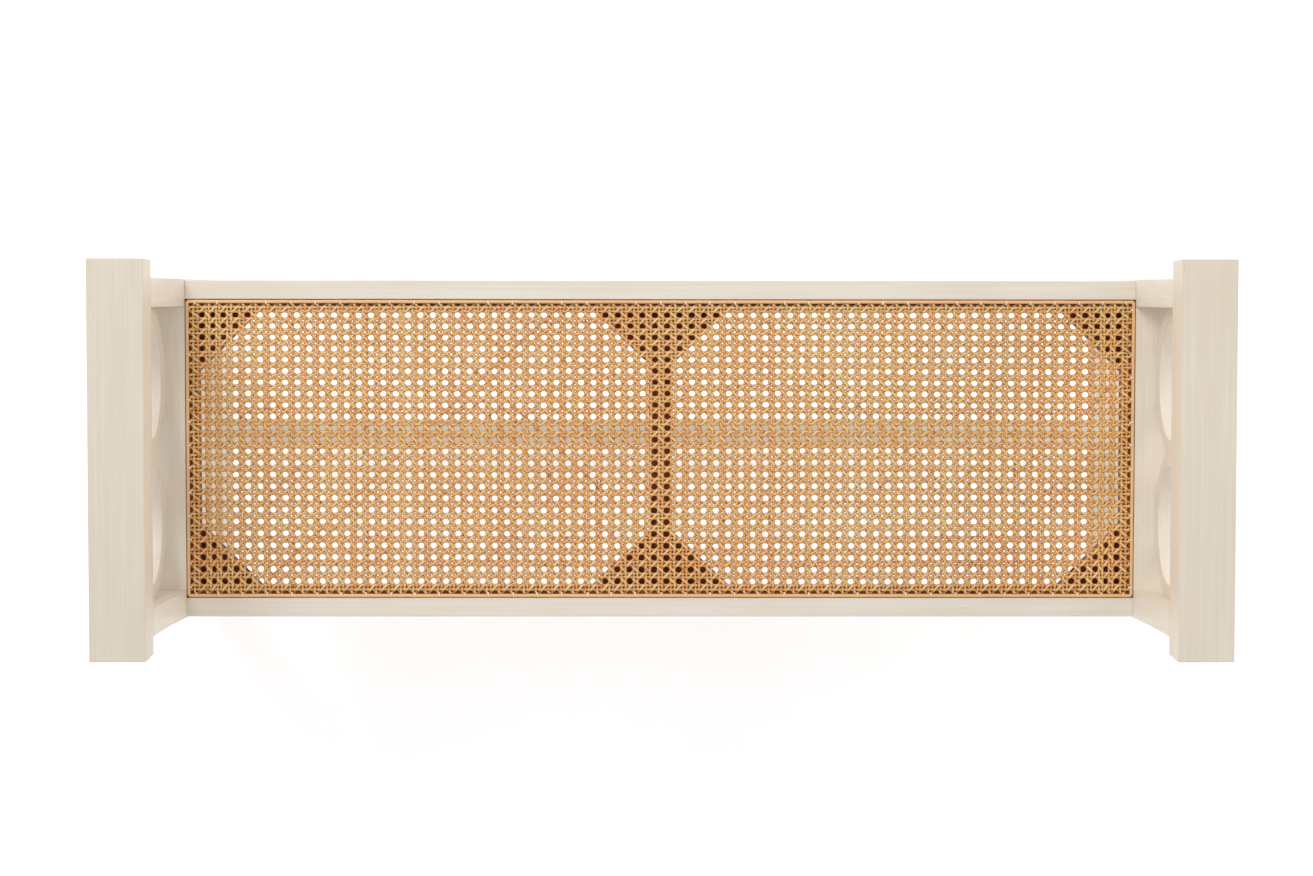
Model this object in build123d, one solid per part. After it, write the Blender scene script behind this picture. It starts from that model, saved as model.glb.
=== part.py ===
from build123d import *
import os
from itertools import product
from math import acos, atan2, cos, hypot, pi, radians, sin

# A cane-seated bench with an arm rail and a circle fretwork at each end.
# Frame: X along the bench (+X right), Y from front (-Y) to back (+Y), +Z up, origin on the floor
# under the middle of the seat. Millimetres. Functions draw the back right piece of each kind.

# Overall
OVERALL_LENGTH = 1370.0
OVERALL_DEPTH = 482.0
SEAT_HEIGHT = 480.0
ARM_CLEARANCE = 206.0  # seat level to the underside of the arm
EASE = 1.2  # radius on the edges a hand can reach

# Arms: a cap glued on a slightly narrower rail
ARM_WIDTH = 67.5
ARM_CAP_THICKNESS = 32.0
ARM_RAIL_THICKNESS = 32.0
ARM_STEP = 1.0

# Legs
LEG_DEPTH = 36.0
LEG_OUTER_Y = 218.5
SEAT_INNER_X = 610.6  # face of the leg's shoulder, where the seat rails butt
LEG_SWEEP = 170.0  # height over which a leg widens to its shoulder
GLIDE_HEIGHT = 5.0
GLIDE_RADIUS = 12.0
GLIDE_CROWN = 2.0  # how far the glide's rim is rounded in
GLIDE_PIN_RADIUS = 1.6
GLIDE_PIN_LENGTH = 16.0

# Seat rails
RAIL_HEIGHT = 60.0
RAIL_WIDTH = 24.3
RAIL_SETBACK = 2.0  # rail face behind the leg face
SEAM_CHAMFER = 0.5

# Fretwork between the legs of one end
FRET_THICKNESS = 30.0
FRET_OPENING_RADIUS = 74.0
FRET_RING_RADIUS = 92.0
FRET_FOOT_HALF = 31.0  # half the width of the foot that meets rail and arm
FRET_TAB_HALF = 24.0  # half the height of the tab that meets the leg
FRET_TAB_ANGLE = 21.5  # degrees below a tab where its flare leaves the ring
FRET_EASE = 0.8

# Stretchers
STRETCHER_TOP = 60.0
STRETCHER_HEIGHT = 34.0
LONG_STRETCHER_WIDTH = 34.0
STRETCHER_SETBACK = 4.5

# Brown softwood under the cane
BRACE_WIDTH = 30.0
BLOCK_HEIGHT = 26.0
CORNER_BLOCK_X = 100.5
CORNER_BLOCK_Y = 101.0
BRACE_BLOCK_X = 81.0
BRACE_BLOCK_Y = 78.0
BLOCK_NOSE = 6.0  # flat left at each sharp tip of a block
CLEAT_WIDTH = 10.0  # strips on the rails that the cane panel rests on, between the blocks
CLEAT_HEIGHT = 12.0

# Drop-in cane panel
PANEL_GAP = 1.0
PANEL_CORNER_RADIUS = 5.0
FRAME_THICKNESS = 14.5
FRAME_END_WIDTH = 17.0
FRAME_SIDE_WIDTH = 12.5
CANE_THICKNESS = 2.8
CANE_INSET = 0.6
BINDER_WIDTH = 5.8
BINDER_THICKNESS = 1.4

# Dowels and screws
DOWEL_RADIUS = 5.0
SMALL_DOWEL_RADIUS = 4.0
PIN_DOWEL_RADIUS = 2.5
DOWEL_LENGTH = 56.0
ARM_DOWEL_LENGTH = 44.0
SMALL_DOWEL_LENGTH = 34.0
PIN_DOWEL_LENGTH = 24.0
END_RAIL_DOWELS = (44.0, 56.0)  # from the shoulder, past the seat rail's own dowels
BRACE_DOWEL_OFFSET = 8.5
SCREW_RADIUS = 2.1
SCREW_HEAD_RADIUS = 4.2
SCREW_HEAD_HEIGHT = 3.0
SCREW_TIP = 4.0
BLOCK_SCREW_LENGTH = 33.0
BLOCK_SCREW_GRIP = 20.0  # wood left between a block screw's head and the rail
BLOCK_SCREW_OFFSET = 34.0  # from the block's square corner
BRACE_SCREW_OFFSET = 28.0
BLOCK_SCREW_STAGGER = 6.0  # one screw of a block above the middle, the other below
PANEL_SCREW_LENGTH = 32.0
PANEL_SCREW_SINK = 4.0
PANEL_SCREW_INSET = 15.0
CAP_SCREW_LENGTH = 38.0
CAP_SCREW_SINK = 6.0
CAP_SCREW_SPACING = 150.0
COUNTERBORE_RADIUS = 5.0

# Worked out from the above
ARM_OUTER_X = OVERALL_LENGTH / 2
ARM_INNER_X = ARM_OUTER_X - ARM_WIDTH
ARM_HALF_Y = OVERALL_DEPTH / 2
ARM_UNDERSIDE = SEAT_HEIGHT + ARM_CLEARANCE
ARM_JOINT = ARM_UNDERSIDE + ARM_RAIL_THICKNESS
ARM_TOP = ARM_JOINT + ARM_CAP_THICKNESS
LEG_OUTER_X = ARM_OUTER_X - ARM_STEP
LEG_INNER_X = ARM_INNER_X + ARM_STEP
LEG_MID_X = (LEG_OUTER_X + LEG_INNER_X) / 2
LEG_QUARTER_X = (LEG_OUTER_X - LEG_INNER_X) / 4
LEG_INNER_Y = LEG_OUTER_Y - LEG_DEPTH
LEG_MID_Y = LEG_OUTER_Y - LEG_DEPTH / 2
RAIL_OUTER_Y = LEG_OUTER_Y - RAIL_SETBACK
RAIL_INNER_Y = RAIL_OUTER_Y - RAIL_WIDTH
RAIL_MID_Y = RAIL_OUTER_Y - RAIL_WIDTH / 2
RAIL_BOTTOM = SEAT_HEIGHT - RAIL_HEIGHT
RAIL_MID_Z = SEAT_HEIGHT - RAIL_HEIGHT / 2
FRET_SPACING = LEG_INNER_Y / 2  # opening centre to the middle of the end
FRET_HALF_Z = ARM_CLEARANCE / 2
STRETCHER_BOTTOM = STRETCHER_TOP - STRETCHER_HEIGHT
STRETCHER_MID_Z = STRETCHER_TOP - STRETCHER_HEIGHT / 2
STRETCHER_INNER_X = LEG_INNER_X + STRETCHER_SETBACK
STRETCHER_OUTER_X = LEG_OUTER_X - STRETCHER_SETBACK
FRAME_HALF_X = SEAT_INNER_X - PANEL_GAP
FRAME_HALF_Y = RAIL_INNER_Y - PANEL_GAP
FRAME_JOINT_X = FRAME_HALF_X - FRAME_END_WIDTH
CANE_TOP = SEAT_HEIGHT - BINDER_THICKNESS / 2
CANE_BOTTOM = CANE_TOP - CANE_THICKNESS
FRAME_BOTTOM = CANE_BOTTOM - FRAME_THICKNESS
BLOCK_BOTTOM = FRAME_BOTTOM - BLOCK_HEIGHT
BLOCK_MID_Z = FRAME_BOTTOM - BLOCK_HEIGHT / 2
CLEAT_BOTTOM = FRAME_BOTTOM - CLEAT_HEIGHT

RIGHT, LEFT, BACK, FRONT = 1, -1, 1, -1
SIDES = {"right": RIGHT, "left": LEFT}
ENDS = {"back": BACK, "front": FRONT}
CORNERS = list(product((RIGHT, LEFT), (BACK, FRONT)))
UP = (0, 0, 1)


def block(low, high):
    """A box between two opposite corners."""
    size = [b - a for a, b in zip(low, high)]
    middle = [(a + b) / 2 for a, b in zip(low, high)]
    return Pos(*middle) * Box(*size)


def placed(part, side, end):
    """A back right piece moved to its own corner by mirroring."""
    if side == LEFT:
        part = mirror(part, about=Plane.YZ)
    if end == FRONT:
        part = mirror(part, about=Plane.XZ)
    return part


def dowel(middle, direction, radius, length):
    return Plane(middle, z_dir=direction) * Cylinder(radius, length)


def screw(head, direction, length):
    """A countersunk wood screw, from the top of its head along a direction."""
    outline = Polyline(
        (0, 0),
        (SCREW_HEAD_RADIUS, 0),
        (SCREW_RADIUS, SCREW_HEAD_HEIGHT),
        (SCREW_RADIUS, length - SCREW_TIP),
        (0, length),
        (0, 0),
    )
    turned = revolve(Plane.XZ * make_face(outline), Axis.Z)
    return Plane(head, z_dir=direction) * turned


def counterbore(head, direction, length):
    """The clear bore behind a sunk screw head."""
    middle = [p - d * length / 2 for p, d in zip(head, direction)]
    return Plane(middle, z_dir=direction) * Cylinder(COUNTERBORE_RADIUS, length)


# Wooden pieces


def leg():
    """A plank sawn with a shoulder where the seat rails meet it."""
    low = RAIL_BOTTOM - LEG_SWEEP
    high = SEAT_HEIGHT + LEG_SWEEP
    outline = [
        Line((LEG_OUTER_X, GLIDE_HEIGHT), (LEG_INNER_X, GLIDE_HEIGHT)),
        Line((LEG_INNER_X, GLIDE_HEIGHT), (LEG_INNER_X, low)),
        TangentArc((LEG_INNER_X, low), (SEAT_INNER_X, RAIL_BOTTOM), tangent=(0, 1)),
        Line((SEAT_INNER_X, RAIL_BOTTOM), (SEAT_INNER_X, SEAT_HEIGHT)),
        TangentArc((LEG_INNER_X, high), (SEAT_INNER_X, SEAT_HEIGHT), tangent=(0, -1)),
        Line((LEG_INNER_X, high), (LEG_INNER_X, ARM_UNDERSIDE)),
        Line((LEG_INNER_X, ARM_UNDERSIDE), (LEG_OUTER_X, ARM_UNDERSIDE)),
        Line((LEG_OUTER_X, ARM_UNDERSIDE), (LEG_OUTER_X, GLIDE_HEIGHT)),
    ]
    plank = extrude(Plane.XZ.offset(-LEG_INNER_Y) * make_face(outline), -LEG_DEPTH)
    upright = [e for f in plank.faces().filter_by(Axis.Y) for e in f.edges() if e.length > LEG_DEPTH]
    return fillet([e for e in upright if abs((e @ 0).Z - (e @ 1).Z) > LEG_DEPTH], EASE)


def arm_cap():
    cap = block((ARM_INNER_X, -ARM_HALF_Y, ARM_JOINT), (ARM_OUTER_X, ARM_HALF_Y, ARM_TOP))
    return fillet(cap.edges(), EASE)


def arm_rail():
    rail = block(
        (ARM_INNER_X + ARM_STEP, ARM_STEP - ARM_HALF_Y, ARM_UNDERSIDE),
        (ARM_OUTER_X - ARM_STEP, ARM_HALF_Y - ARM_STEP, ARM_JOINT),
    )
    under = rail.faces().sort_by(Axis.Z)[0]
    return fillet(rail.edges().filter_by(Axis.Z) + under.edges(), FRET_EASE)


def on_ring(angle):
    """A point of the ring's outer circle, by its angle about the opening's centre."""
    return (FRET_RING_RADIUS * cos(angle), FRET_RING_RADIUS * sin(angle))


def spandrel():
    """The lower left gap outside an opening, seen from the opening's centre."""
    corner = (-FRET_SPACING, -FRET_HALF_Z)
    foot = (-FRET_FOOT_HALF, -FRET_HALF_Z)
    tip = (-FRET_SPACING, -FRET_TAB_HALF)
    leaves = atan2(foot[1], foot[0]) - acos(FRET_RING_RADIUS / hypot(*foot))
    turns = radians(FRET_TAB_ANGLE) - pi
    outline = [
        Line(corner, foot),
        Line(foot, on_ring(leaves)),
        ThreePointArc(on_ring(leaves), on_ring((leaves + turns) / 2), on_ring(turns)),
        Line(on_ring(turns), tip),
        Line(tip, corner),
    ]
    return make_face(outline)


def fret_panel():
    """The board under one arm: two circles held by feet and tabs."""
    board = Rectangle(2 * LEG_INNER_Y, ARM_CLEARANCE)
    for end, across, up in product((BACK, FRONT), (1, -1), (1, -1)):
        gap = spandrel()
        if across < 0:
            gap = mirror(gap, about=Plane.YZ)
        if up < 0:
            gap = mirror(gap, about=Plane.XZ)
        board -= Pos(end * FRET_SPACING, 0) * gap
    for end in (BACK, FRONT):
        board -= Pos(end * FRET_SPACING, 0) * Circle(FRET_OPENING_RADIUS)
    level = Plane(
        (LEG_MID_X - FRET_THICKNESS / 2, 0, SEAT_HEIGHT + FRET_HALF_Z), x_dir=(0, 1, 0), z_dir=(1, 0, 0)
    )
    solid = extrude(level * board, FRET_THICKNESS)
    rims = [e for e in solid.edges().filter_by(GeomType.CIRCLE) if e.radius < FRET_RING_RADIUS - EASE]
    return fillet(rims, FRET_EASE)


def seat_rail():
    """The long rail between the two legs of one face, with a fine V at each seam."""
    rail = block((-SEAT_INNER_X, RAIL_INNER_Y, RAIL_BOTTOM), (SEAT_INNER_X, RAIL_OUTER_Y, SEAT_HEIGHT))
    rail = fillet(rail.edges().filter_by(Axis.X), EASE)
    rims = [e for f in rail.faces().filter_by(Axis.X) for e in f.edges()]
    return chamfer(rims, SEAM_CHAMFER)


def seat_end_rail():
    """The wide rail that closes the seat frame and carries the fretwork."""
    rail = block(
        (SEAT_INNER_X, -LEG_INNER_Y, RAIL_BOTTOM), (LEG_OUTER_X - RAIL_SETBACK, LEG_INNER_Y, SEAT_HEIGHT)
    )
    return fillet(rail.edges().filter_by(Axis.Y), EASE)


def end_stretcher():
    rail = block(
        (STRETCHER_INNER_X, -LEG_INNER_Y, STRETCHER_BOTTOM), (STRETCHER_OUTER_X, LEG_INNER_Y, STRETCHER_TOP)
    )
    return fillet(rail.edges().filter_by(Axis.Y), EASE)


def long_stretcher():
    half = LONG_STRETCHER_WIDTH / 2
    rail = block((-STRETCHER_INNER_X, -half, STRETCHER_BOTTOM), (STRETCHER_INNER_X, half, STRETCHER_TOP))
    return fillet(rail.edges().filter_by(Axis.X), EASE)


def centre_brace():
    half = BRACE_WIDTH / 2
    return block((-half, -RAIL_INNER_Y, BLOCK_BOTTOM), (half, RAIL_INNER_Y, FRAME_BOTTOM))


def triangle_block(x, reach_x, reach_y):
    """A block with its square corner against the back rail, its flanks along -X and -Y."""
    y = RAIL_INNER_Y
    outline = Polyline(
        (x, y),
        (x - reach_x, y),
        (x - reach_x, y - BLOCK_NOSE),
        (x - BLOCK_NOSE, y - reach_y),
        (x, y - reach_y),
        (x, y),
    )
    return Pos(0, 0, BLOCK_BOTTOM) * extrude(make_face(outline), BLOCK_HEIGHT)


def corner_block():
    return triangle_block(SEAT_INNER_X, CORNER_BLOCK_X, CORNER_BLOCK_Y)


def brace_block():
    """The glue block between the brace's right face and the back rail."""
    left_hand = triangle_block(-BRACE_WIDTH / 2, BRACE_BLOCK_X, BRACE_BLOCK_Y)
    return mirror(left_hand, about=Plane.YZ)


def rail_cleat():
    """The strip on a long rail between the brace's block and the corner's."""
    return block(
        (BRACE_WIDTH / 2 + BRACE_BLOCK_X, RAIL_INNER_Y - CLEAT_WIDTH, CLEAT_BOTTOM),
        (SEAT_INNER_X - CORNER_BLOCK_X, RAIL_INNER_Y, FRAME_BOTTOM),
    )


def end_cleat():
    """The strip on an end rail between its two corner blocks."""
    half = RAIL_INNER_Y - CORNER_BLOCK_Y
    return block((SEAT_INNER_X - CLEAT_WIDTH, -half, CLEAT_BOTTOM), (SEAT_INNER_X, half, FRAME_BOTTOM))


def panel_outline(inset):
    """The rounded rectangle of the cane panel, smaller by an inset."""
    return RectangleRounded(2 * (FRAME_HALF_X - inset), 2 * (FRAME_HALF_Y - inset), PANEL_CORNER_RADIUS)


def cane_frame_end():
    """An end member, as long as the panel is deep, with rounded outer corners."""
    whole = Pos(0, 0, FRAME_BOTTOM) * extrude(panel_outline(0), FRAME_THICKNESS)
    end = block((FRAME_JOINT_X, -RAIL_INNER_Y, FRAME_BOTTOM), (SEAT_INNER_X, RAIL_INNER_Y, CANE_BOTTOM))
    return whole & end


def cane_frame_side():
    """A long member, between the two end members."""
    return block(
        (-FRAME_JOINT_X, FRAME_HALF_Y - FRAME_SIDE_WIDTH, FRAME_BOTTOM),
        (FRAME_JOINT_X, FRAME_HALF_Y, CANE_BOTTOM),
    )


def cane_panel():
    """A thin closed sheet of the cane's outer size, in place of the weave."""
    return Pos(0, 0, CANE_BOTTOM) * extrude(panel_outline(CANE_INSET), CANE_THICKNESS)


def cane_binder():
    """The flat strip of cane that covers the weave's edge."""
    reach = CANE_INSET + BINDER_WIDTH
    ring = panel_outline(CANE_INSET) - Rectangle(2 * (FRAME_HALF_X - reach), 2 * (FRAME_HALF_Y - reach))
    return Pos(0, 0, CANE_TOP) * extrude(ring, BINDER_THICKNESS)


def floor_glide():
    """A domed disc on a nail, under a leg."""
    rim = GLIDE_RADIUS - GLIDE_CROWN
    tip = GLIDE_HEIGHT + GLIDE_PIN_LENGTH
    outline = [
        Line((0, 0), (rim, 0)),
        TangentArc((rim, 0), (GLIDE_RADIUS, GLIDE_CROWN), tangent=(1, 0)),
        Line((GLIDE_RADIUS, GLIDE_CROWN), (GLIDE_RADIUS, GLIDE_HEIGHT)),
        Line((GLIDE_RADIUS, GLIDE_HEIGHT), (GLIDE_PIN_RADIUS, GLIDE_HEIGHT)),
        Line((GLIDE_PIN_RADIUS, GLIDE_HEIGHT), (GLIDE_PIN_RADIUS, tip)),
        Line((GLIDE_PIN_RADIUS, tip), (0, tip)),
        Line((0, tip), (0, 0)),
    ]
    return Pos(LEG_MID_X, LEG_MID_Y, 0) * revolve(Plane.XZ * make_face(outline), Axis.Z)


# Dowels, each centred on its joint


def seat_rail_dowels():
    heights = (RAIL_MID_Z - RAIL_HEIGHT / 4, RAIL_MID_Z + RAIL_HEIGHT / 4)
    return [
        dowel((side * SEAT_INNER_X, end * RAIL_MID_Y, z), (1, 0, 0), DOWEL_RADIUS, DOWEL_LENGTH)
        for side, end in CORNERS
        for z in heights
    ]


def end_rail_dowels():
    places = [
        (side * (SEAT_INNER_X + x), end * LEG_INNER_Y, RAIL_MID_Z)
        for side, end in CORNERS
        for x in END_RAIL_DOWELS
    ]
    return [dowel(place, (0, 1, 0), SMALL_DOWEL_RADIUS, DOWEL_LENGTH) for place in places]


def end_stretcher_dowels():
    places = [
        (side * (LEG_MID_X + x), end * LEG_INNER_Y, STRETCHER_MID_Z)
        for side, end in CORNERS
        for x in (LEG_QUARTER_X, -LEG_QUARTER_X)
    ]
    return [dowel(place, (0, 1, 0), DOWEL_RADIUS, DOWEL_LENGTH) for place in places]


def long_stretcher_dowels():
    offset = LONG_STRETCHER_WIDTH / 4
    return [
        dowel((side * STRETCHER_INNER_X, y, STRETCHER_MID_Z), (1, 0, 0), SMALL_DOWEL_RADIUS, DOWEL_LENGTH)
        for side in (RIGHT, LEFT)
        for y in (offset, -offset)
    ]


def arm_dowels():
    return [
        dowel((side * (LEG_MID_X + x), end * LEG_MID_Y, ARM_UNDERSIDE), UP, DOWEL_RADIUS, ARM_DOWEL_LENGTH)
        for side, end in CORNERS
        for x in (LEG_QUARTER_X, -LEG_QUARTER_X)
    ]


def fret_dowels():
    """One in each foot and one, thinner, in each tab at a leg."""
    feet = [
        dowel((side * LEG_MID_X, end * FRET_SPACING, z), UP, SMALL_DOWEL_RADIUS, SMALL_DOWEL_LENGTH)
        for side, end in CORNERS
        for z in (SEAT_HEIGHT, ARM_UNDERSIDE)
    ]
    middle = SEAT_HEIGHT + FRET_HALF_Z
    tabs = [
        dowel((side * LEG_MID_X, end * LEG_INNER_Y, middle), (0, 1, 0), PIN_DOWEL_RADIUS, PIN_DOWEL_LENGTH)
        for side, end in CORNERS
    ]
    return feet + tabs


def brace_dowels():
    return [
        dowel((x, end * RAIL_INNER_Y, BLOCK_MID_Z), (0, 1, 0), SMALL_DOWEL_RADIUS, SMALL_DOWEL_LENGTH)
        for end in (BACK, FRONT)
        for x in (BRACE_DOWEL_OFFSET, -BRACE_DOWEL_OFFSET)
    ]


def cane_frame_dowels():
    y = FRAME_HALF_Y - FRAME_SIDE_WIDTH / 2
    z = FRAME_BOTTOM + FRAME_THICKNESS / 2
    return [
        dowel((side * FRAME_JOINT_X, end * y, z), (1, 0, 0), PIN_DOWEL_RADIUS, PIN_DOWEL_LENGTH)
        for side, end in CORNERS
    ]


# Screw places, each a head's top and a direction


def block_screw_places(corner_x, offset, towards):
    """Two screws of a block: one into the long rail and one along X, towards its other face."""
    places = []
    for side, end in CORNERS:
        along = corner_x - towards * offset
        head_y = RAIL_INNER_Y - BLOCK_SCREW_GRIP
        places.append(
            ((side * along, end * head_y, BLOCK_MID_Z + BLOCK_SCREW_STAGGER), (0, end, 0))
        )
        head_x = corner_x - towards * BLOCK_SCREW_GRIP
        across = RAIL_INNER_Y - BLOCK_SCREW_OFFSET
        places.append(
            ((side * head_x, end * across, BLOCK_MID_Z - BLOCK_SCREW_STAGGER), (side * towards, 0, 0))
        )
    return places


def panel_screw_places():
    """Up through the blocks and the brace into the cane frame."""
    z = BLOCK_BOTTOM + PANEL_SCREW_SINK
    end_member = FRAME_HALF_X - FRAME_END_WIDTH / 2
    side_member = FRAME_HALF_Y - FRAME_SIDE_WIDTH / 2
    corner_y = RAIL_INNER_Y - PANEL_SCREW_INSET
    at_corners = [((side * end_member, end * corner_y, z), UP) for side, end in CORNERS]
    at_brace = [((0, end * side_member, z), UP) for end in (BACK, FRONT)]
    return at_corners + at_brace


def cap_screw_places():
    """Up through the arm rail into the cap."""
    z = ARM_UNDERSIDE + CAP_SCREW_SINK
    return [
        ((side * LEG_MID_X, y, z), UP)
        for side in (RIGHT, LEFT)
        for y in (-CAP_SCREW_SPACING, 0, CAP_SCREW_SPACING)
    ]


# The assembly


def wooden_nodes():
    """Every wooden piece by name, before it is drilled."""
    nodes = {}
    for side_name, side in SIDES.items():
        nodes[f"arm_cap_{side_name}"] = placed(arm_cap(), side, BACK)
        nodes[f"arm_rail_{side_name}"] = placed(arm_rail(), side, BACK)
        nodes[f"fret_panel_{side_name}"] = placed(fret_panel(), side, BACK)
        nodes[f"seat_end_rail_{side_name}"] = placed(seat_end_rail(), side, BACK)
        nodes[f"end_stretcher_{side_name}"] = placed(end_stretcher(), side, BACK)
        nodes[f"cane_frame_{side_name}"] = placed(cane_frame_end(), side, BACK)
        nodes[f"end_cleat_{side_name}"] = placed(end_cleat(), side, BACK)
        for end_name, end in ENDS.items():
            nodes[f"leg_{end_name}_{side_name}"] = placed(leg(), side, end)
            nodes[f"corner_block_{end_name}_{side_name}"] = placed(corner_block(), side, end)
            nodes[f"brace_block_{end_name}_{side_name}"] = placed(brace_block(), side, end)
            nodes[f"rail_cleat_{end_name}_{side_name}"] = placed(rail_cleat(), side, end)
    for end_name, end in ENDS.items():
        nodes[f"seat_rail_{end_name}"] = placed(seat_rail(), RIGHT, end)
        nodes[f"cane_frame_{end_name}"] = placed(cane_frame_side(), RIGHT, end)
    nodes["centre_brace"] = centre_brace()
    nodes["long_stretcher"] = long_stretcher()
    return nodes


def screw_sets():
    """Each screw node's places, its screws' length and how deep their heads are sunk."""
    half = BRACE_WIDTH / 2
    return {
        "corner_block_screws": (
            block_screw_places(SEAT_INNER_X, BLOCK_SCREW_OFFSET, 1), BLOCK_SCREW_LENGTH, RAIL_HEIGHT
        ),
        "brace_block_screws": (
            block_screw_places(half, BRACE_SCREW_OFFSET, -1), BLOCK_SCREW_LENGTH, RAIL_HEIGHT
        ),
        "seat_panel_screws": (panel_screw_places(), PANEL_SCREW_LENGTH, PANEL_SCREW_SINK),
        "arm_cap_screws": (cap_screw_places(), CAP_SCREW_LENGTH, CAP_SCREW_SINK),
    }


def meets(a, b):
    """Whether two bounding boxes touch, so that cutting one shape from the other is worth a try."""
    apart_x = a.min.X > b.max.X or b.min.X > a.max.X
    apart_y = a.min.Y > b.max.Y or b.min.Y > a.max.Y
    apart_z = a.min.Z > b.max.Z or b.min.Z > a.max.Z
    return not (apart_x or apart_y or apart_z)


def drilled(part, tools):
    """A piece less every tool, given with its bounding box, that reaches it."""
    box = part.bounding_box()
    for tool, tool_box in tools:
        if meets(box, tool_box):
            part = part - tool
    return part


def assembly():
    hardware = {
        "seat_rail_dowels": seat_rail_dowels(),
        "end_rail_dowels": end_rail_dowels(),
        "end_stretcher_dowels": end_stretcher_dowels(),
        "long_stretcher_dowels": long_stretcher_dowels(),
        "arm_dowels": arm_dowels(),
        "fret_dowels": fret_dowels(),
        "brace_dowels": brace_dowels(),
        "cane_frame_dowels": cane_frame_dowels(),
    }
    sinks = []
    for name, (places, length, sink) in screw_sets().items():
        hardware[name] = [screw(head, direction, length) for head, direction in places]
        sinks += [counterbore(head, direction, sink) for head, direction in places]
    for side_name, side in SIDES.items():
        for end_name, end in ENDS.items():
            hardware[f"floor_glide_{end_name}_{side_name}"] = [placed(floor_glide(), side, end)]
    cutters = [piece for pieces in hardware.values() for piece in pieces] + sinks
    tools = [(cutter, cutter.bounding_box()) for cutter in cutters]
    nodes = {name: drilled(part, tools) for name, part in wooden_nodes().items()}
    nodes["cane_panel"] = cane_panel()
    nodes["cane_binder"] = cane_binder()
    for name, pieces in hardware.items():
        nodes[name] = pieces[0] if len(pieces) == 1 else Compound(children=pieces)
    return nodes


os.makedirs("parts", exist_ok=True)
for node_name, node_part in assembly().items():
    export_step(node_part, f"parts/{node_name}.step")
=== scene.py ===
"""Looks for the cane-seated bench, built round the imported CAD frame. Lengths are in metres."""

import math

import bpy
import numpy as np
from mathutils import Matrix, Vector


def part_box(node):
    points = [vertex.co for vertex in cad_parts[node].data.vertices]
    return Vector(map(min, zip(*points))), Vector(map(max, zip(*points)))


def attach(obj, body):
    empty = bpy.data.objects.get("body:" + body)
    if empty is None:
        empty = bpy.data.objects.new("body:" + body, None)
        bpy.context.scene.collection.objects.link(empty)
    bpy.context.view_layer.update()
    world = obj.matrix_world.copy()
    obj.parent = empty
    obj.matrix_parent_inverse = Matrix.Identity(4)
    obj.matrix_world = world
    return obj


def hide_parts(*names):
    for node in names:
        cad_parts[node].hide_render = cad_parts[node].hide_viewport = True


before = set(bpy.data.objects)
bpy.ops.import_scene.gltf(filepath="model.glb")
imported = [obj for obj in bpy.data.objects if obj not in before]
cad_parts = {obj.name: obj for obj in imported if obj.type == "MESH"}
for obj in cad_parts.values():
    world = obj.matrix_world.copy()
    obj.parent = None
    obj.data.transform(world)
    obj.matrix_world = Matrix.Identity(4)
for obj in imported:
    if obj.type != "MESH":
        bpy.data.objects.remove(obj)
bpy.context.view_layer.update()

UP = np.array([0.0, 0.0, 1.0])

# Camera
LENS_MM = 77.79
FARTHEST_SEEN = 200.0
CAMERA_PLACE = (-0.0344, 0.1962, 4.1253)
CAMERA_TURNS = (("X", -0.04987), ("Y", -0.00792), ("Z", 0.00051))  # radians, in this order

# Light: a key behind the bench on its left, a weaker pinkish fill on its right, and a sky that is
# brightest at the horizon
KEY_PLACE = (-2.0, 3.6, 4.7)
KEY_WATTS = 128.0
KEY_SIZE = 3.0
FILL_PLACE = (3.1, 0.9, 2.7)
FILL_WATTS = 19.0
FILL_SIZE = 1.8
FILL_TINT = (1.0, 0.91, 0.97)
SKY_HIGH = 0.60
SKY_LOW = 1.00
SKY_LOW_BELOW = 0.05  # height on the unit sphere of the sky
SKY_HIGH_ABOVE = 0.35
SKY_TINT = (1.0, 0.990, 1.015, 1.0)
FLOOR_SIZE = 60.0
FLOOR_GLOW = 0.42

# Cane lattice: holes lie at whole numbers of (column, row), strand pairs half way between
COLUMNS = 76
ROWS = 24
COLUMN_SPAN = 1.1762  # first hole to last
INNER_COLUMN_SPAN = 1.1240  # third hole to third last: the pitch is smaller at both ends
ROW_SPAN = 0.3432
ROW_BOW = 0.0045  # how far the middle rows are drawn to the back
EDGE_SQUEEZE = 0.0018
PAIR_OFFSET = 0.1635  # of a pitch, from a pair's middle to each of its strands
DRIFT_WAVES = 5
DRIFT = 0.00028
DRIFT_FADE = 0.03

# Strands
STRAND_WIDTH = 0.0031
DIAGONAL_WIDTH = 0.0035
WIDTH_RANGE = (0.90, 1.10)
STRAND_THICKNESS = 0.00085
STRAND_PROFILE = (
    (-0.42, -0.5), (-0.5, -0.1), (-0.31, 0.34), (0, 0.5), (0.31, 0.34), (0.5, -0.1), (0.42, -0.5),
)
STRAND_ATTRIBUTES = ("tone", "across", "depth")
STRAND_SHIFT = np.array([7.3, 0.11])  # moves each strand to its own part of the noise
SLIP = 0.000075
SLIP_SPAN = 5  # points over which a sideways slip is spread
LEAN = 0.00020
PAIR_LIFT = 0.00050
PAIR_END_DIP = 0.8
DIAGONAL_LIFT = 0.00098
DIAGONAL_END_DIP = 0.6
DIAGONAL_TURN = 1.5  # how sharply a diagonal goes from over to under
SHORTEST_DIAGONAL = 0.9
TONE_SPREAD = 0.28

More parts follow.
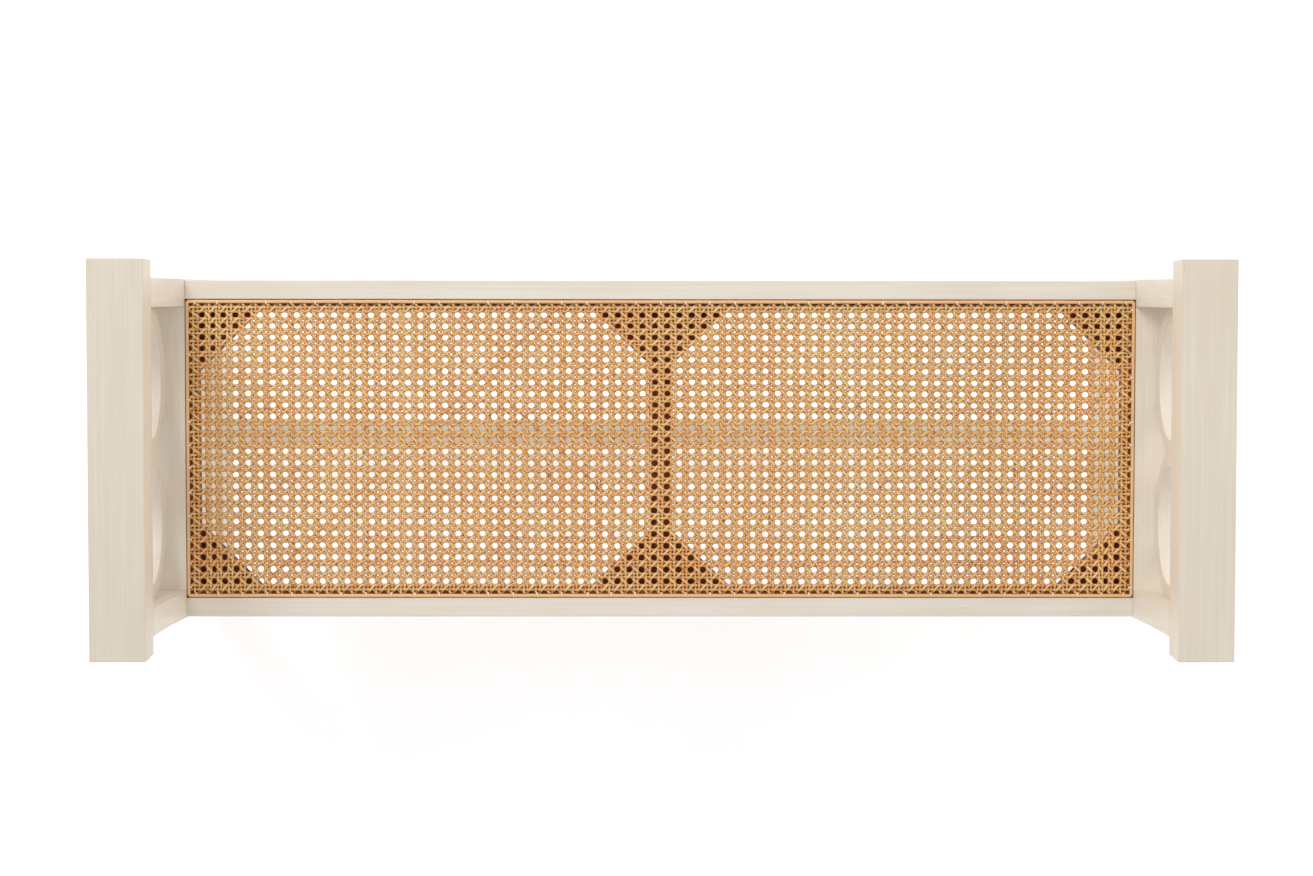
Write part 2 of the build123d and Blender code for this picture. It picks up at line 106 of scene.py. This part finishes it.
# Edge binding and its ties
BINDER_WIDTH = 0.0047
BINDER_THICKNESS = 0.0015
BINDER_PROFILE = (
    (-0.5, -0.5), (-0.5, -0.22), (-0.36, 0.22), (0, 0.5), (0.36, 0.22), (0.5, -0.22), (0.5, -0.5),
)
BINDER_CORNER = 0.0024
BINDER_STEP = 0.008
BINDER_SLIP = 0.0011
BINDER_WANDER = 0.00008
BINDER_RIPPLE = 0.00012
BINDER_RIPPLE_TURN = 0.9
CORNER_STEPS = 6
CLEARANCE = 0.0001
TIE_WIDTH = 0.0030
TIE_WIDTH_RANGE = (0.85, 1.1)
TIE_THICKNESS = 0.00035
TIE_SLIP = 0.0009
TIES_MISSING = 0.08
TIE_ARCH = (  # half binder widths outward, and height
    (-1.10, -0.0012), (-1.06, 0.0003), (-0.74, 0.0011), (-0.25, 0.00155),
    (0.25, 0.00155), (0.74, 0.0011), (1.06, 0.0003), (1.10, -0.0012),
)

rng = np.random.default_rng(41)


def linear(red, green, blue):
    """A scene colour from the usual 0 to 255 values, by the sRGB curve."""
    parts = (red, green, blue)
    return tuple(((v / 255 + 0.055) / 1.055) ** 2.4 if v > 10 else v / 3295 for v in parts) + (1.0,)


# ---------------------------------------------------------------- materials


class Tree:
    """One material's nodes, with short calls to add them."""

    def __init__(self, name):
        self.material = bpy.data.materials.new(name)
        self.material.use_nodes = True
        self.nodes = self.material.node_tree.nodes
        self.links = self.material.node_tree.links
        self.shader = self.nodes["Principled BSDF"]

    def add(self, kind, inputs, **settings):
        made = self.nodes.new(kind)
        for key, value in settings.items():
            setattr(made, key, value)
        for key, value in inputs.items():
            self.put(made.inputs[key], value)
        return made

    def put(self, socket, value):
        if isinstance(value, bpy.types.NodeSocket):
            self.links.new(value, socket)
        else:
            socket.default_value = value

    def place(self, scale):
        """Object coordinates, which are the row frame's, stretched by scale."""
        coords = self.add("ShaderNodeTexCoord", {})
        mapping = self.add("ShaderNodeMapping", {"Vector": coords.outputs["Object"], "Scale": scale})
        return mapping.outputs[0]

    def strand_place(self, scale):
        """Metres along and across a strand, stretched by scale."""
        coords = self.add("ShaderNodeUVMap", {}, uv_map="Strand")
        return self.add("ShaderNodeMapping", {"Vector": coords.outputs[0], "Scale": scale}).outputs[0]

    def noise(self, vector, scale, detail=3.0, roughness=0.55):
        inputs = {"Vector": vector, "Scale": scale, "Detail": detail, "Roughness": roughness}
        return self.add("ShaderNodeTexNoise", inputs).outputs["Fac"]

    def remap(self, value, low, high, to_low=0.0, to_high=1.0):
        inputs = {"Value": value, "From Min": low, "From Max": high, "To Min": to_low, "To Max": to_high}
        return self.add("ShaderNodeMapRange", inputs).outputs[0]

    def maths(self, operation, first, second):
        return self.add("ShaderNodeMath", {0: first, 1: second}, operation=operation).outputs[0]

    def mix(self, factor, first, second):
        return self.add("ShaderNodeMix", {0: factor, 6: first, 7: second}, data_type="RGBA").outputs[2]

    def bump(self, height, distance, normal=None):
        inputs = {"Height": height, "Distance": distance, "Strength": 1.0}
        if normal is not None:
            inputs["Normal"] = normal
        return self.add("ShaderNodeBump", inputs).outputs[0]

    def edges(self, radius):
        """0 on flat faces, rising to 1 on an edge."""
        rounded = self.add("ShaderNodeBevel", {"Radius": radius}, samples=4).outputs[0]
        true = self.add("ShaderNodeNewGeometry", {}).outputs["Normal"]
        compared = self.add("ShaderNodeVectorMath", {0: rounded, 1: true}, operation="DOT_PRODUCT")
        return self.remap(compared.outputs["Value"], 0.995, 0.85)

    def finish(self, colour, roughness, normal, **constants):
        self.put(self.shader.inputs["Base Color"], colour)
        self.put(self.shader.inputs["Roughness"], roughness)
        self.put(self.shader.inputs["Normal"], normal)
        for key, value in constants.items():
            self.shader.inputs[key.replace("_", " ")].default_value = value
        return self.material


def along(axis, slow, fast):
    """A noise scale that is slow along one axis and fast across it."""
    return tuple(slow if axis == a else fast for a in "XYZ")


def painted_wood(name, axis, light, aged):
    """Brushed satin paint, with streaks along the piece, cloudy ageing, and edges painted a darker tan
    for rubbed paint and for painted shade.
    """
    t = Tree(name)
    streak = t.noise(t.place(along(axis, 5.0, 260.0)), 1.0, 4.0, 0.62)
    wide_streak = t.noise(t.place(along(axis, 2.2, 60.0)), 1.0, 2.0)
    cloud = t.noise(t.place((1, 1, 1)), 5.5, 4.0)
    grain = t.noise(t.place(along(axis, 160.0, 1500.0)), 1.0, 2.0)
    colour = t.mix(t.remap(streak, 0.36, 0.68, 0.0, 0.55), light, aged)
    colour = t.mix(t.remap(wide_streak, 0.40, 0.70, 0.0, 0.35), colour, aged)
    colour = t.mix(t.remap(cloud, 0.42, 0.72, 0.0, 0.40), colour, aged)
    fleck = t.noise(t.place(along(axis, 40.0, 420.0)), 1.0, 2.0)
    colour = t.mix(t.remap(fleck, 0.70, 0.80, 0.0, 0.35), colour, linear(186, 160, 124))
    # wear and painted shade: every edge is mixed towards a darker tan, which stands both for rubbed
    # paint and for the shade line along a rounded edge
    edge_tint = t.maths("MULTIPLY", t.edges(0.0022), t.remap(cloud, 0.35, 0.65, 0.15, 0.55))
    colour = t.mix(edge_tint, colour, linear(196, 170, 132))
    rough = t.remap(streak, 0.3, 0.7, 0.40, 0.54)
    normal = t.bump(grain, 0.00006, t.bump(streak, 0.00025))
    return t.finish(
        colour, rough, normal, Specular_IOR_Level=0.42, Coat_Weight=0.18, Coat_Roughness=0.24
    )


def stained_wood(name, axis):
    """Dark red-brown stained softwood, matt, with open grain."""
    t = Tree(name)
    grain = t.noise(t.place(along(axis, 9.0, 300.0)), 1.0, 5.0, 0.65)
    cloud = t.noise(t.place((1, 1, 1)), 16.0)
    colour = t.mix(t.remap(grain, 0.35, 0.66), linear(152, 84, 46), linear(104, 52, 26))
    colour = t.mix(t.remap(cloud, 0.45, 0.75, 0.0, 0.6), colour, linear(84, 38, 18))
    edge_tint = t.maths("MULTIPLY", t.edges(0.0015), t.remap(cloud, 0.3, 0.7, 0.1, 0.6))
    colour = t.mix(edge_tint, colour, linear(178, 112, 70))
    rough = t.remap(grain, 0.3, 0.7, 0.55, 0.78)
    return t.finish(colour, rough, t.bump(grain, 0.0004), Specular_IOR_Level=0.3)


def plain_beech(name):
    """Pale dowel wood with short flecks."""
    t = Tree(name)
    fleck = t.noise(t.place((700, 700, 700)), 1.0)
    cloud = t.noise(t.place((90, 90, 90)), 1.0)
    colour = t.mix(t.remap(cloud, 0.35, 0.65), linear(214, 178, 132), linear(196, 156, 108))
    colour = t.mix(t.remap(fleck, 0.60, 0.72, 0.0, 0.7), colour, linear(150, 108, 70))
    return t.finish(colour, t.remap(cloud, 0.3, 0.7, 0.5, 0.65), t.bump(fleck, 0.0001))


def zinc_steel(name):
    """Bright zinc plate with clouding and fine scratches."""
    t = Tree(name)
    cloud = t.noise(t.place((400, 400, 400)), 1.0)
    scratch = t.noise(t.place((300, 4000, 900)), 1.0, 2.0)
    colour = t.mix(t.remap(cloud, 0.35, 0.65), linear(206, 208, 206), linear(168, 172, 170))
    rough = t.remap(scratch, 0.3, 0.7, 0.25, 0.48)
    return t.finish(colour, rough, t.bump(scratch, 0.00003), Metallic=1.0)


def moulded_nylon(name):
    """Off-white moulded nylon, scuffed where it meets the floor."""
    t = Tree(name)
    skin = t.noise(t.place((1800, 1800, 1800)), 1.0)
    scuff = t.noise(t.place((240, 240, 240)), 1.0, 5.0)
    colour = t.mix(t.remap(scuff, 0.5, 0.72, 0.0, 0.8), linear(226, 220, 206), linear(150, 142, 128))
    return t.finish(colour, t.remap(scuff, 0.3, 0.7, 0.42, 0.62), t.bump(skin, 0.00005))


def cane_skin(name, light, deep, brown, blotch_share):
    """Natural rattan skin: a tone for each strand, fibres along it, brown blotches, and painted shade.

    The painted shade darkens a strand's edges (across) and the places where it dips under other strands
    (depth).
    """
    t = Tree(name)
    tone, across, depth = (
        t.add("ShaderNodeAttribute", {}, attribute_name=key).outputs["Fac"] for key in STRAND_ATTRIBUTES
    )
    fibre = t.noise(t.strand_place((18.0, 5200.0, 1.0)), 1.0, 3.0)
    blotch = t.noise(t.strand_place((95.0, 260.0, 1.0)), 1.0, 3.0, 0.6)
    cloud = t.noise(t.place((1, 1, 1)), 7.0, 3.0)
    colour = t.mix(tone, light, deep)
    colour = t.mix(t.remap(cloud, 0.4, 0.7, 0.0, 0.35), colour, deep)
    colour = t.mix(t.remap(fibre, 0.40, 0.72, 0.0, 0.38), colour, deep)
    spread = t.maths("ADD", blotch, t.remap(tone, 0.0, 1.0, -0.04, 0.05))
    patches = t.remap(spread, 1.0 - blotch_share, 1.08 - blotch_share, 0.0, 0.75)
    colour = t.mix(patches, colour, brown)
    # painted shade: a strand's edges and its dips under other strands are mixed towards brown, as if
    # shaded
    edge_painted_shade = t.remap(across, 0.50, 1.0, 0.0, 0.78)
    dip_painted_shade = t.remap(depth, 0.03, 0.6, 0.0, 0.74)
    colour = t.mix(t.maths("MAXIMUM", edge_painted_shade, dip_painted_shade), colour, brown)
    rough = t.remap(fibre, 0.3, 0.7, 0.30, 0.46)
    normal = t.bump(fibre, 0.00005)
    return t.finish(
        colour, rough, normal, Specular_IOR_Level=0.55, Coat_Weight=0.30, Coat_Roughness=0.22
    )


# ---------------------------------------------------------------- cane


def lattice_maps():
    """Functions from lattice column and row to x and y, read from the CAD panel's box."""
    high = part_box("cane_panel")[1]
    half_x = high.x - BINDER_WIDTH / 2 - CLEARANCE
    half_y = high.y - BINDER_WIDTH / 2 - CLEARANCE
    first_columns = np.array([0.0, 1.0, 3.0])
    first_xs = -np.array([half_x, COLUMN_SPAN / 2, INNER_COLUMN_SPAN / 2])
    columns = np.concatenate([first_columns, COLUMNS + 1 - first_columns[::-1]])
    xs = np.concatenate([first_xs, -first_xs[::-1]])
    pitch = ROW_SPAN / (ROWS - 1)
    first_rows = np.array([0.0, 0.5, 1.5, 2.0])
    lattice_edge = -(ROW_SPAN + pitch) / 2
    first_ys = np.array([
        -half_y,
        0.5 * pitch - half_y + EDGE_SQUEEZE,
        1.0 * pitch + lattice_edge,
        1.5 * pitch + lattice_edge,
    ])
    rows = np.concatenate([first_rows, ROWS + 1 - first_rows[::-1]])
    ys = np.concatenate([first_ys, -first_ys[::-1]])

    def row_y(v):
        return np.interp(v, rows, ys) + ROW_BOW * np.sin(math.pi * np.asarray(v) / (ROWS + 1))

    return half_x, half_y, lambda u: np.interp(u, columns, xs), row_y


HALF_X, HALF_Y, column_x, row_y = lattice_maps()
CANE_MIDDLE = (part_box("cane_panel")[0].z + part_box("cane_panel")[1].z) / 2
WAVES = [
    (rng.uniform(2, 13), rng.uniform(2, 13), rng.uniform(0, 6.28), rng.uniform(0, 6.28))
    for _ in range(DRIFT_WAVES)
]


def wander(x, y):
    """A slow sideways drift of the whole weave, nothing at its edges."""
    keep = np.clip((HALF_X - abs(x)) / DRIFT_FADE, 0, 1)
    keep = keep * np.clip((HALF_Y - abs(y)) / DRIFT_FADE, 0, 1)
    dx = sum(math.cos(c) * np.sin(a * x + b * y * 2 + c) for a, b, c, d in WAVES)
    dy = sum(math.cos(d) * np.sin(b * x + a * y * 2 + d) for a, b, c, d in WAVES)
    return keep * dx * DRIFT, keep * dy * DRIFT


def strand(u, v, lift):
    """Points of one strand from its lattice places and heights, with its own small sideways slips."""
    x, y = column_x(u), row_y(v)
    dx, dy = wander(x, y)
    x, y = x + dx, y + dy
    run = np.gradient(np.stack([x, y], 1), axis=0)
    run /= np.linalg.norm(run, axis=1)[:, None]
    slips = rng.normal(0.0, SLIP, len(x) + SLIP_SPAN - 1)
    offset = sum(slips[k:len(x) + k] for k in range(SLIP_SPAN)) + rng.uniform(-LEAN, LEAN)
    return np.stack([x - run[:, 1] * offset, y + run[:, 0] * offset, CANE_MIDDLE + lift], 1)


def swept(points, profile, width, thickness, closed=False):
    """A ribbon swept along points, crowned side up.

    Gives its vertices and quads, and for each vertex its place along and across the strand, how
    near it is to an edge, and how deep it dips.
    """
    n, sides = len(points), len(profile)
    if closed:
        run = np.roll(points, -1, 0) - np.roll(points, 1, 0)
    else:
        run = np.gradient(points, axis=0)
    run /= np.linalg.norm(run, axis=1)[:, None]
    side = np.cross(UP, run)
    side /= np.linalg.norm(side, axis=1)[:, None]
    rise = np.cross(run, side)
    shape = np.array(profile)
    corners = (points[:, None] + side[:, None] * shape[None, :, :1] * width
               + rise[:, None] * shape[None, :, 1:] * thickness).reshape(-1, 3)
    rings = n if closed else n - 1
    a = (np.arange(rings)[:, None] * sides + np.arange(sides)[None]).ravel()
    b = (np.arange(rings)[:, None] * sides + (np.arange(sides)[None] + 1) % sides).ravel()
    ahead = sides * n
    quads = np.stack([a, b, (b + sides) % ahead, (a + sides) % ahead], 1)
    length = np.concatenate([[0.0], np.cumsum(np.linalg.norm(np.diff(points, axis=0), axis=1))])
    place = np.stack([np.repeat(length, sides), np.tile(shape[:, 0] * width, n)], 1)
    depth = np.clip((CANE_MIDDLE - points[:, 2]) / DIAGONAL_LIFT, 0, 1)
    return corners, quads, place, np.tile(abs(shape[:, 0]) * 2, n), np.repeat(depth, sides)


def strand_mesh(name, ribbons, ribbon_tones):
    """One mesh of many ribbons, each with its tone and its own strand coordinates."""
    starts = np.cumsum([0] + [len(r[0]) for r in ribbons])
    vertices = np.concatenate([r[0] for r in ribbons])
    quads = np.concatenate([r[1] + s for r, s in zip(ribbons, starts)])
    place = np.concatenate([r[2] + STRAND_SHIFT * i for i, r in enumerate(ribbons)])
    tone = np.concatenate([np.full(len(r[0]), t) for r, t in zip(ribbons, ribbon_tones)])
    mesh = bpy.data.meshes.new(name)
    mesh.from_pydata(vertices.tolist(), [], quads.tolist())
    across = np.concatenate([r[3] for r in ribbons])
    depth = np.concatenate([r[4] for r in ribbons])
    for key, values in zip(STRAND_ATTRIBUTES, (tone, across, depth)):
        mesh.attributes.new(key, "FLOAT", "POINT").data.foreach_set("value", values.astype(np.float32))
    layer = mesh.uv_layers.new(name="Strand")
    layer.data.foreach_set("uv", place[quads.ravel()].astype(np.float32).ravel())
    mesh.shade_smooth()
    thing = bpy.data.objects.new(name, mesh)
    bpy.context.scene.collection.objects.link(thing)
    return thing


def tones(count, middle):
    """A tone for each of so many ribbons, 0 light and 1 deep."""
    return np.clip(rng.normal(middle, TONE_SPREAD, count), 0.0, 1.0)


def pair_strand(line, side, reach):
    """Lattice places and heights along one strand of a pair, over and under the pairs it crosses."""
    cells = [[s + 0.5 - PAIR_OFFSET, s + 0.5 + PAIR_OFFSET, s + 1.0] for s in range(reach)]
    along_it = np.concatenate([[0.0]] + cells)
    lift = np.concatenate([[0.0]] + [[-side, side, 0.0]] * reach) * PAIR_LIFT
    lift[0] = lift[-1] = -PAIR_END_DIP * PAIR_LIFT
    return along_it, np.full(len(along_it), line + side * PAIR_OFFSET), lift


def pair_ribbons(lines, reach, lengthwise):
    """Both strands of each pair, crosswise or lengthwise."""
    ribbons = []
    for line in range(lines):
        for side in (-1, 1):
            width = STRAND_WIDTH * rng.uniform(*WIDTH_RANGE)
            far, place, lift = pair_strand(line + 0.5, side, reach)
            u, v = (far, place) if lengthwise else (place, far)
            lift = -lift if lengthwise else lift
            points = strand(u, v, lift)
            ribbons.append(swept(points, STRAND_PROFILE, width, STRAND_THICKNESS))
    return ribbons


def diagonal_ribbons(falling):
    """Diagonal strands.

    A falling one is over the crosswise pairs and under the lengthwise, a rising one the other way.
    """
    wide, tall = COLUMNS + 1, ROWS + 1
    ribbons = []
    for start in range(wide + tall):
        total = start + 0.5
        first, last = max(0.0, total - tall), min(float(wide), total)
        if last - first < SHORTEST_DIAGONAL:
            continue
        halves = int(round((last - first) * 2))
        steps = [[first + h / 2, first + h / 2 + 0.15, first + h / 2 + 0.35] for h in range(halves)]
        u = np.concatenate(steps + [[last]])
        v = total - u if falling else tall - (total - u)
        over_cross = np.cos(2 * np.pi * (u - 0.5))
        wave = np.tanh(DIAGONAL_TURN * over_cross) / math.tanh(DIAGONAL_TURN)
        lift = wave * DIAGONAL_LIFT * (1 if falling else -1)
        lift[0] = lift[-1] = -DIAGONAL_END_DIP * DIAGONAL_LIFT
        width = DIAGONAL_WIDTH * rng.uniform(*WIDTH_RANGE)
        points = strand(u, v, lift)
        ribbons.append(swept(points, STRAND_PROFILE, width, STRAND_THICKNESS))
    return ribbons


def rounded_rectangle(half_x, half_y, radius, step):
    """Points round a rounded rectangle, about a step apart."""
    points = []
    for turn, (sx, sy) in enumerate(((1, 1), (-1, 1), (-1, -1), (1, -1))):
        centre = np.array([sx * (half_x - radius), sy * (half_y - radius)])
        for k in range(CORNER_STEPS + 1):
            angle = math.radians(90 * (turn + k / CORNER_STEPS))
            points.append(centre + radius * np.array([math.cos(angle), math.sin(angle)]))
        across = turn % 2 == 0
        length = 2 * ((half_x if across else half_y) - radius)
        count = int(length / step)
        direction = np.array([(-1, 0), (0, -1), (1, 0), (0, 1)][turn])
        points += [points[-1] + direction * length * (k + 1) / (count + 1) for k in range(count)]
    return np.array(points)


def binder_ribbon():
    """The flat edge binding, a little uneven, that covers the strands' ends."""
    path = rounded_rectangle(HALF_X + BINDER_SLIP, HALF_Y + BINDER_SLIP, BINDER_CORNER, BINDER_STEP)
    path += rng.normal(0.0, BINDER_WANDER, path.shape)
    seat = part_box("cane_binder")[0].z - CLEARANCE
    wave = BINDER_RIPPLE * np.sin(np.arange(len(path)) * BINDER_RIPPLE_TURN)
    points = np.concatenate([path, (seat + BINDER_THICKNESS / 2 + wave)[:, None]], 1)
    return swept(points, BINDER_PROFILE, BINDER_WIDTH, BINDER_THICKNESS, closed=True)


def tie_ribbons():
    """Small loops over the binding, one at every second pair, with a few missing."""
    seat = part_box("cane_binder")[0].z
    half = BINDER_WIDTH / 2
    places = [(column_x(k + 0.5), s * HALF_Y, (0, s)) for k in range(0, COLUMNS + 1, 2) for s in (-1, 1)]
    places += [(s * HALF_X, row_y(k + 0.5), (s, 0)) for k in range(0, ROWS + 1, 2) for s in (-1, 1)]
    ribbons = []
    for x, y, (out_x, out_y) in places:
        slip = rng.uniform(-TIE_SLIP, TIE_SLIP)
        lean = rng.uniform(-TIE_SLIP, TIE_SLIP)
        if rng.random() < TIES_MISSING:
            continue
        points = []
        for outward, height in TIE_ARCH:
            sideways = slip + lean * outward
            points.append((
                x + out_x * half * outward + abs(out_y) * sideways,
                y + out_y * half * outward + abs(out_x) * sideways,
                seat + height,
            ))
        width = TIE_WIDTH * rng.uniform(*TIE_WIDTH_RANGE)
        ribbons.append(swept(np.array(points), STRAND_PROFILE, width, TIE_THICKNESS))
    return ribbons


def seat_piece(thing, material, slot, *nodes):
    """Dresses a woven piece, puts it under the root body and hides the CAD nodes that it stands for."""
    thing.data.materials.append(material)
    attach(thing, "root")
    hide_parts(*nodes)


def make_cane():
    """The woven seat, its binding and its ties."""
    skin = cane_skin("cane_skin", linear(255, 220, 144), linear(248, 168, 88), linear(90, 36, 10), 0.38)
    flat = cane_skin(
        "cane_binding_skin", linear(255, 214, 154), linear(238, 176, 112), linear(136, 78, 40), 0.34
    )
    pale = cane_skin(
        "cane_tie_skin", linear(255, 242, 218), linear(246, 214, 172), linear(140, 84, 46), 0.26
    )
    crosswise = pair_ribbons(COLUMNS + 1, ROWS + 1, lengthwise=False)
    lengthwise = pair_ribbons(ROWS + 1, COLUMNS + 1, lengthwise=True)
    falling, rising = diagonal_ribbons(True), diagonal_ribbons(False)
    woven = (
        ("cane_cross_strands", crosswise, 0.58),
        ("cane_long_strands", lengthwise, 0.52),
        ("cane_falling_strands", falling, 0.25),
        ("cane_rising_strands", rising, 0.22),
    )
    for name, ribbons, middle in woven:
        seat_piece(strand_mesh(name, ribbons, tones(len(ribbons), middle)), skin, "cane", "cane_panel")
    strip = strand_mesh("cane_binding_strip", [binder_ribbon()], [0.4])
    seat_piece(strip, flat, "cane_binding", "cane_binder")
    loops = tie_ribbons()
    ties = strand_mesh("cane_binding_ties", loops, tones(len(loops), 0.3))
    seat_piece(ties, pale, "cane_binding", "cane_binder")


# ---------------------------------------------------------------- CAD pieces


def dress_frame():
    """Gives each CAD node the material of the first entry whose text is in its name."""
    cream, aged = linear(241, 234, 221), linear(227, 215, 193)
    arm_cream, arm_aged = linear(234, 225, 207), linear(220, 207, 184)
    paints = {axis: painted_wood("paint_" + axis, axis, cream, aged) for axis in "XYZ"}
    arm_paint = painted_wood("paint_arm", "Y", arm_cream, arm_aged)
    stains = {axis: stained_wood("stain_" + axis, axis) for axis in "XY"}
    beech, zinc, nylon = plain_beech("beech"), zinc_steel("zinc"), moulded_nylon("nylon")
    finishes = (
        ("_screws", zinc), ("_dowels", beech), ("floor_glide", nylon),
        ("arm_cap", arm_paint), ("arm_rail", arm_paint),
        ("fret_panel", paints["Y"]), ("leg_", paints["Z"]),
        ("seat_end_rail", paints["Y"]), ("end_stretcher", paints["Y"]),
        ("seat_rail", paints["X"]), ("long_stretcher", paints["X"]),
        ("cane_frame_front", stains["X"]), ("cane_frame_back", stains["X"]),
        ("cane_frame", stains["Y"]), ("centre_brace", stains["Y"]), ("_block_", stains["X"]),
        ("rail_cleat", stains["X"]), ("end_cleat", stains["Y"]), ("cane_", beech),
    )
    for name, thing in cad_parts.items():
        material = next(m for part, m in finishes if part in name)
        thing.data.materials.clear()
        thing.data.materials.append(material)


# ---------------------------------------------------------------- stage


def make_camera():
    data = bpy.data.cameras.new("camera")
    data.lens = LENS_MM
    data.clip_end = FARTHEST_SEEN
    camera = bpy.data.objects.new("camera", data)
    turn = Matrix.Identity(4)
    for axis, angle in CAMERA_TURNS:
        turn = turn @ Matrix.Rotation(angle, 4, axis)
    camera.matrix_world = Matrix.Translation(CAMERA_PLACE) @ turn
    bpy.context.scene.collection.objects.link(camera)
    bpy.context.scene.camera = camera


def soft_lamp(name, place, watts, size, tint=(1.0, 1.0, 1.0)):
    """A round soft light that looks at the middle of the floor, and isn't seen itself."""
    data = bpy.data.lights.new(name, "AREA")
    data.shape = "DISK"
    data.energy = watts
    data.size = size
    data.color = tint
    lamp = bpy.data.objects.new(name, data)
    lamp.location = place
    lamp.rotation_euler = Vector(place).to_track_quat("Z", "Y").to_euler()
    lamp.visible_camera = False
    bpy.context.scene.collection.objects.link(lamp)


def make_light():
    soft_lamp("key", KEY_PLACE, KEY_WATTS, KEY_SIZE)
    soft_lamp("fill", FILL_PLACE, FILL_WATTS, FILL_SIZE, FILL_TINT)
    world = bpy.data.worlds.new("studio")
    world.use_nodes = True
    nodes, links = world.node_tree.nodes, world.node_tree.links
    coords = nodes.new("ShaderNodeTexCoord")
    split = nodes.new("ShaderNodeSeparateXYZ")
    links.new(coords.outputs["Generated"], split.inputs[0])
    height = nodes.new("ShaderNodeMapRange")
    links.new(split.outputs["Z"], height.inputs["Value"])
    height.inputs["From Min"].default_value = SKY_LOW_BELOW
    height.inputs["From Max"].default_value = SKY_HIGH_ABOVE
    height.inputs["To Min"].default_value = SKY_LOW
    height.inputs["To Max"].default_value = SKY_HIGH
    links.new(height.outputs[0], nodes["Background"].inputs["Strength"])
    nodes["Background"].inputs["Color"].default_value = SKY_TINT
    bpy.context.scene.world = world
    bpy.context.scene.view_settings.view_transform = "Standard"


def make_floor():
    """A pale floor that glows a little, so that it stays white under the bench."""
    half = FLOOR_SIZE / 2
    corners = [(-half, -half, 0), (half, -half, 0), (half, half, 0), (-half, half, 0)]
    mesh = bpy.data.meshes.new("floor")
    mesh.from_pydata(corners, [], [(0, 1, 2, 3)])
    t = Tree("floor")
    cloud = t.noise(t.place((1, 1, 1)), 2.0)
    colour = t.mix(t.remap(cloud, 0.3, 0.7), (0.93, 0.93, 0.93, 1), (0.90, 0.90, 0.90, 1))
    rough = t.remap(cloud, 0.3, 0.7, 0.85, 0.95)
    t.finish(colour, rough, t.bump(cloud, 0.00001), Emission_Strength=FLOOR_GLOW)
    t.shader.inputs["Emission Color"].default_value = (1, 1, 1, 1)
    mesh.materials.append(t.material)
    floor = bpy.data.objects.new("floor", mesh)
    bpy.context.scene.collection.objects.link(floor)


make_camera()
make_light()
make_floor()
dress_frame()
make_cane()
